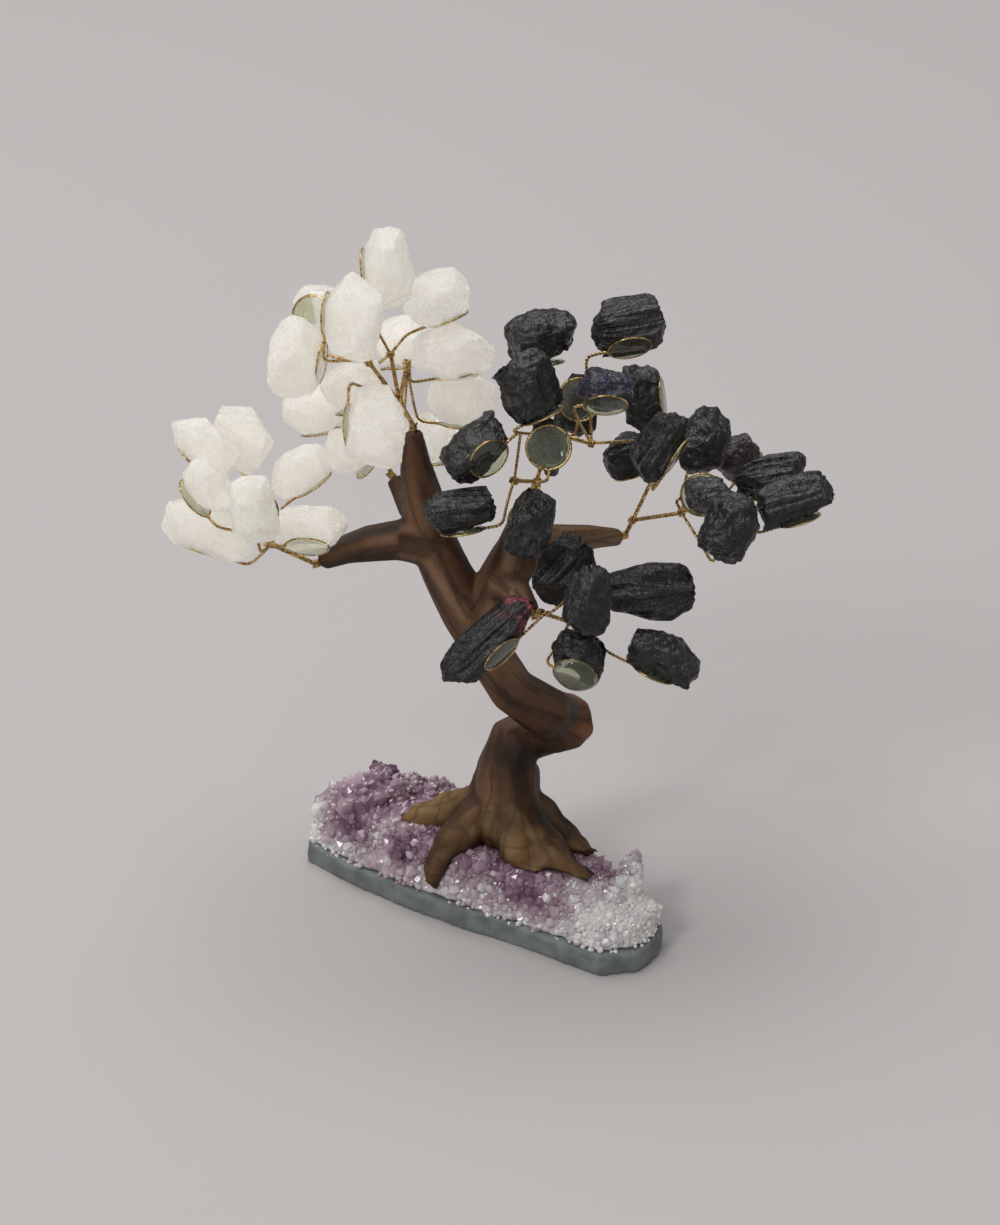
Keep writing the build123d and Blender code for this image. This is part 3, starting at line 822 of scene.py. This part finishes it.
# Black tourmaline
# Broken lengths of black crystal, flecked with charcoal grey grains and painted grey on their raised
# ridges as painted highlight. Fine ribs run along some, the broken ends are granular, and one on the
# front spray is pink at its upper end.
RIBBED = [("middle", 1), ("middle", 7), ("middle", 8), ("right", 2), ("right", 5), ("right", 6),
          ("front", 1), ("front", 2), ("front", 4)]


def tourmaline_finish(name, touch):
    """Black crystal with black pits and grey grains, painted grey on its ridges as painted highlight, and a
    touch of another colour where it is kept.
    """
    tourmaline, surface, shade = new_finish(name)
    broad = shade.grains(1.7 * MM, 2, 0.5)
    dust = shade.grains(0.55 * MM, 3, 0.6)
    grain = (0.5 * broad + 0.5 * dust).spread(0.40, 0.60)
    # Painted highlight: raised ridges are painted lighter grey and kept glossier, mixed with random grain.
    ridge_light_and_grain = (0.7 * shade.kept("ridge") + 0.5 * grain).spread(0.45, 1.05)
    charcoal = ridge_light_and_grain.between((0.0010, 0.0010, 0.0010), (0.030, 0.029, 0.029))
    shade.feed(surface.inputs["Base Color"], (shade.kept("touch") * grain).between(charcoal, touch))
    shade.feed(surface.inputs["Roughness"], 0.42 - 0.36 * ridge_light_and_grain)
    shade.feed(surface.inputs["Normal"], shade.relief(broad + 0.3 * dust, 0.8 * MM))
    surface.inputs["Specular IOR Level"].default_value = 0.42
    surface.inputs["IOR"].default_value = 1.63
    return tourmaline


black = tourmaline_finish("black tourmaline", (0.06, 0.06, 0.06))
TOUCHED = {
    ("front", 1): tourmaline_finish("pink-ended tourmaline", (0.42, 0.09, 0.12)),
    ("right", 4): tourmaline_finish("brown tourmaline", (0.07, 0.038, 0.044)),
    ("middle", 4): tourmaline_finish("grey tourmaline", (0.11, 0.11, 0.115)),
    ("middle", 9): tourmaline_finish("violet tourmaline", (0.030, 0.026, 0.065)),
}
TOUCHED["right", 7] = TOUCHED["middle", 4]

for spray in ("middle", "right", "front"):
    for number, loop in enumerate(loops[spray], 1):
        node = f"{spray}_tourmaline_{number}"
        prism = worked_copy(node, "rough_" + node, spray + "_spray", "black_tourmaline", 0.4 * MM, 4)
        places, facing = surface_of(prism)
        seed = 17.3 * number + len(spray)
        axes = axes_of(loop)
        middle = places.mean(0)
        local = (places - middle) @ axes.T
        fibres = clouds(local * (0.1, 1, 1), 3.2 * MM, seed)
        local[:, 0] *= 1 + 0.25 * fibres
        striped = (spray, number) in RIBBED
        move(prism, middle + chipped(local, 0.25 if striped else 0.45, 10, random.Random(node)) @ axes)
        places, facing = surface_of(prism)
        local = (places - middle) @ axes.T
        angle = np.arctan2(local[:, 2], local[:, 1])
        ring = np.column_stack([np.cos(angle) * 4.5, np.sin(angle) * 4.5, local[:, 0] / (16 * MM)])
        fine = np.column_stack([np.cos(angle) * 13, np.sin(angle) * 13, local[:, 0] / (11 * MM)])
        ribbed = 1 - step_up(np.abs(facing @ loop.along), 0.45, 0.75)
        ribbed *= 1 if striped else 0.3
        ribbing = 0.7 * clouds(ring, 1.0, seed) + 0.5 * clouds(fine, 1.0, seed)
        granular = 0.65 * clouds(places, 2.4 * MM, seed) + 0.40 * clouds(places, 1.1 * MM, seed)
        swell = ribbing * ribbed + granular * (1 - ribbed)
        # How raised each point is; the finish paints raised points lighter as painted highlight.
        keep(prism, "ridge", np.clip(0.5 + 0.8 * swell, 0, 1))
        swell += (0.4 if striped else 0.8) * clouds(places, 6 * MM, seed)
        touched = np.full(len(places), 1.0 if (spray, number) in TOUCHED else 0.0)
        if (spray, number) == ("front", 1):
            touched = step_up(-local[:, 0], 4 * MM, 8 * MM) * step_up(clouds(places, 4 * MM, 3), -0.2, 0.2)
        keep(prism, "touch", touched)
        move(prism, places + facing * (swell * MM)[:, None])
        finish(prism, TOUCHED.get((spray, number), black))


# Studio
# A pale warm grey sheet under a wide soft light, and a smaller soft light from the front left that
# glints in the stones.
sweep, surface, shade = new_finish("pale warm grey")
surface.inputs["Base Color"].default_value = (0.530, 0.500, 0.493, 1)
surface.inputs["Roughness"].default_value = 0.9
FLOOR_HALF = 4.0
mesh = bpy.data.meshes.new("floor")
mesh.from_pydata([(-FLOOR_HALF, -FLOOR_HALF, 0), (FLOOR_HALF, -FLOOR_HALF, 0), (FLOOR_HALF, FLOOR_HALF, 0),
                  (-FLOOR_HALF, FLOOR_HALF, 0)], [], [(0, 1, 2, 3)])
mesh.materials.append(sweep)
floor = bpy.data.objects.new("floor", mesh)
bpy.context.scene.collection.objects.link(floor)

for name, place, target, size, watts in [("wide", (-0.5, 0.55, 2.3), (-0.2, 0.5, 0), 2.0, 40),
                                         ("key", (-0.9, -1.1, 1.3), (0, 0, 0.08), 0.45, 7.5)]:
    lamp = bpy.data.lights.new(name, "AREA")
    lamp.size = size
    lamp.energy = watts
    light = bpy.data.objects.new(name, lamp)
    light.location = place
    light.rotation_euler = (Vector(target) - Vector(place)).to_track_quat("-Z", "Y").to_euler()
    bpy.context.scene.collection.objects.link(light)

world = bpy.data.worlds.new("studio")
world.use_nodes = True
world.node_tree.nodes["Background"].inputs["Color"].default_value = (1, 1, 1, 1)
world.node_tree.nodes["Background"].inputs["Strength"].default_value = 0.30
bpy.context.scene.world = world

view = bpy.data.cameras.new("camera")
view.lens = 88.2
view.clip_end = 20
camera = bpy.data.objects.new("camera", view)
camera.location = Vector((3.6, -662.5, 418.5)) * MM
aim = Vector((3.6, 5.75, 78)) * MM
camera.rotation_euler = (aim - camera.location).to_track_quat("-Z", "Y").to_euler()
bpy.context.scene.collection.objects.link(camera)
bpy.context.scene.camera = camera
bpy.context.scene.view_settings.view_transform = "Standard"
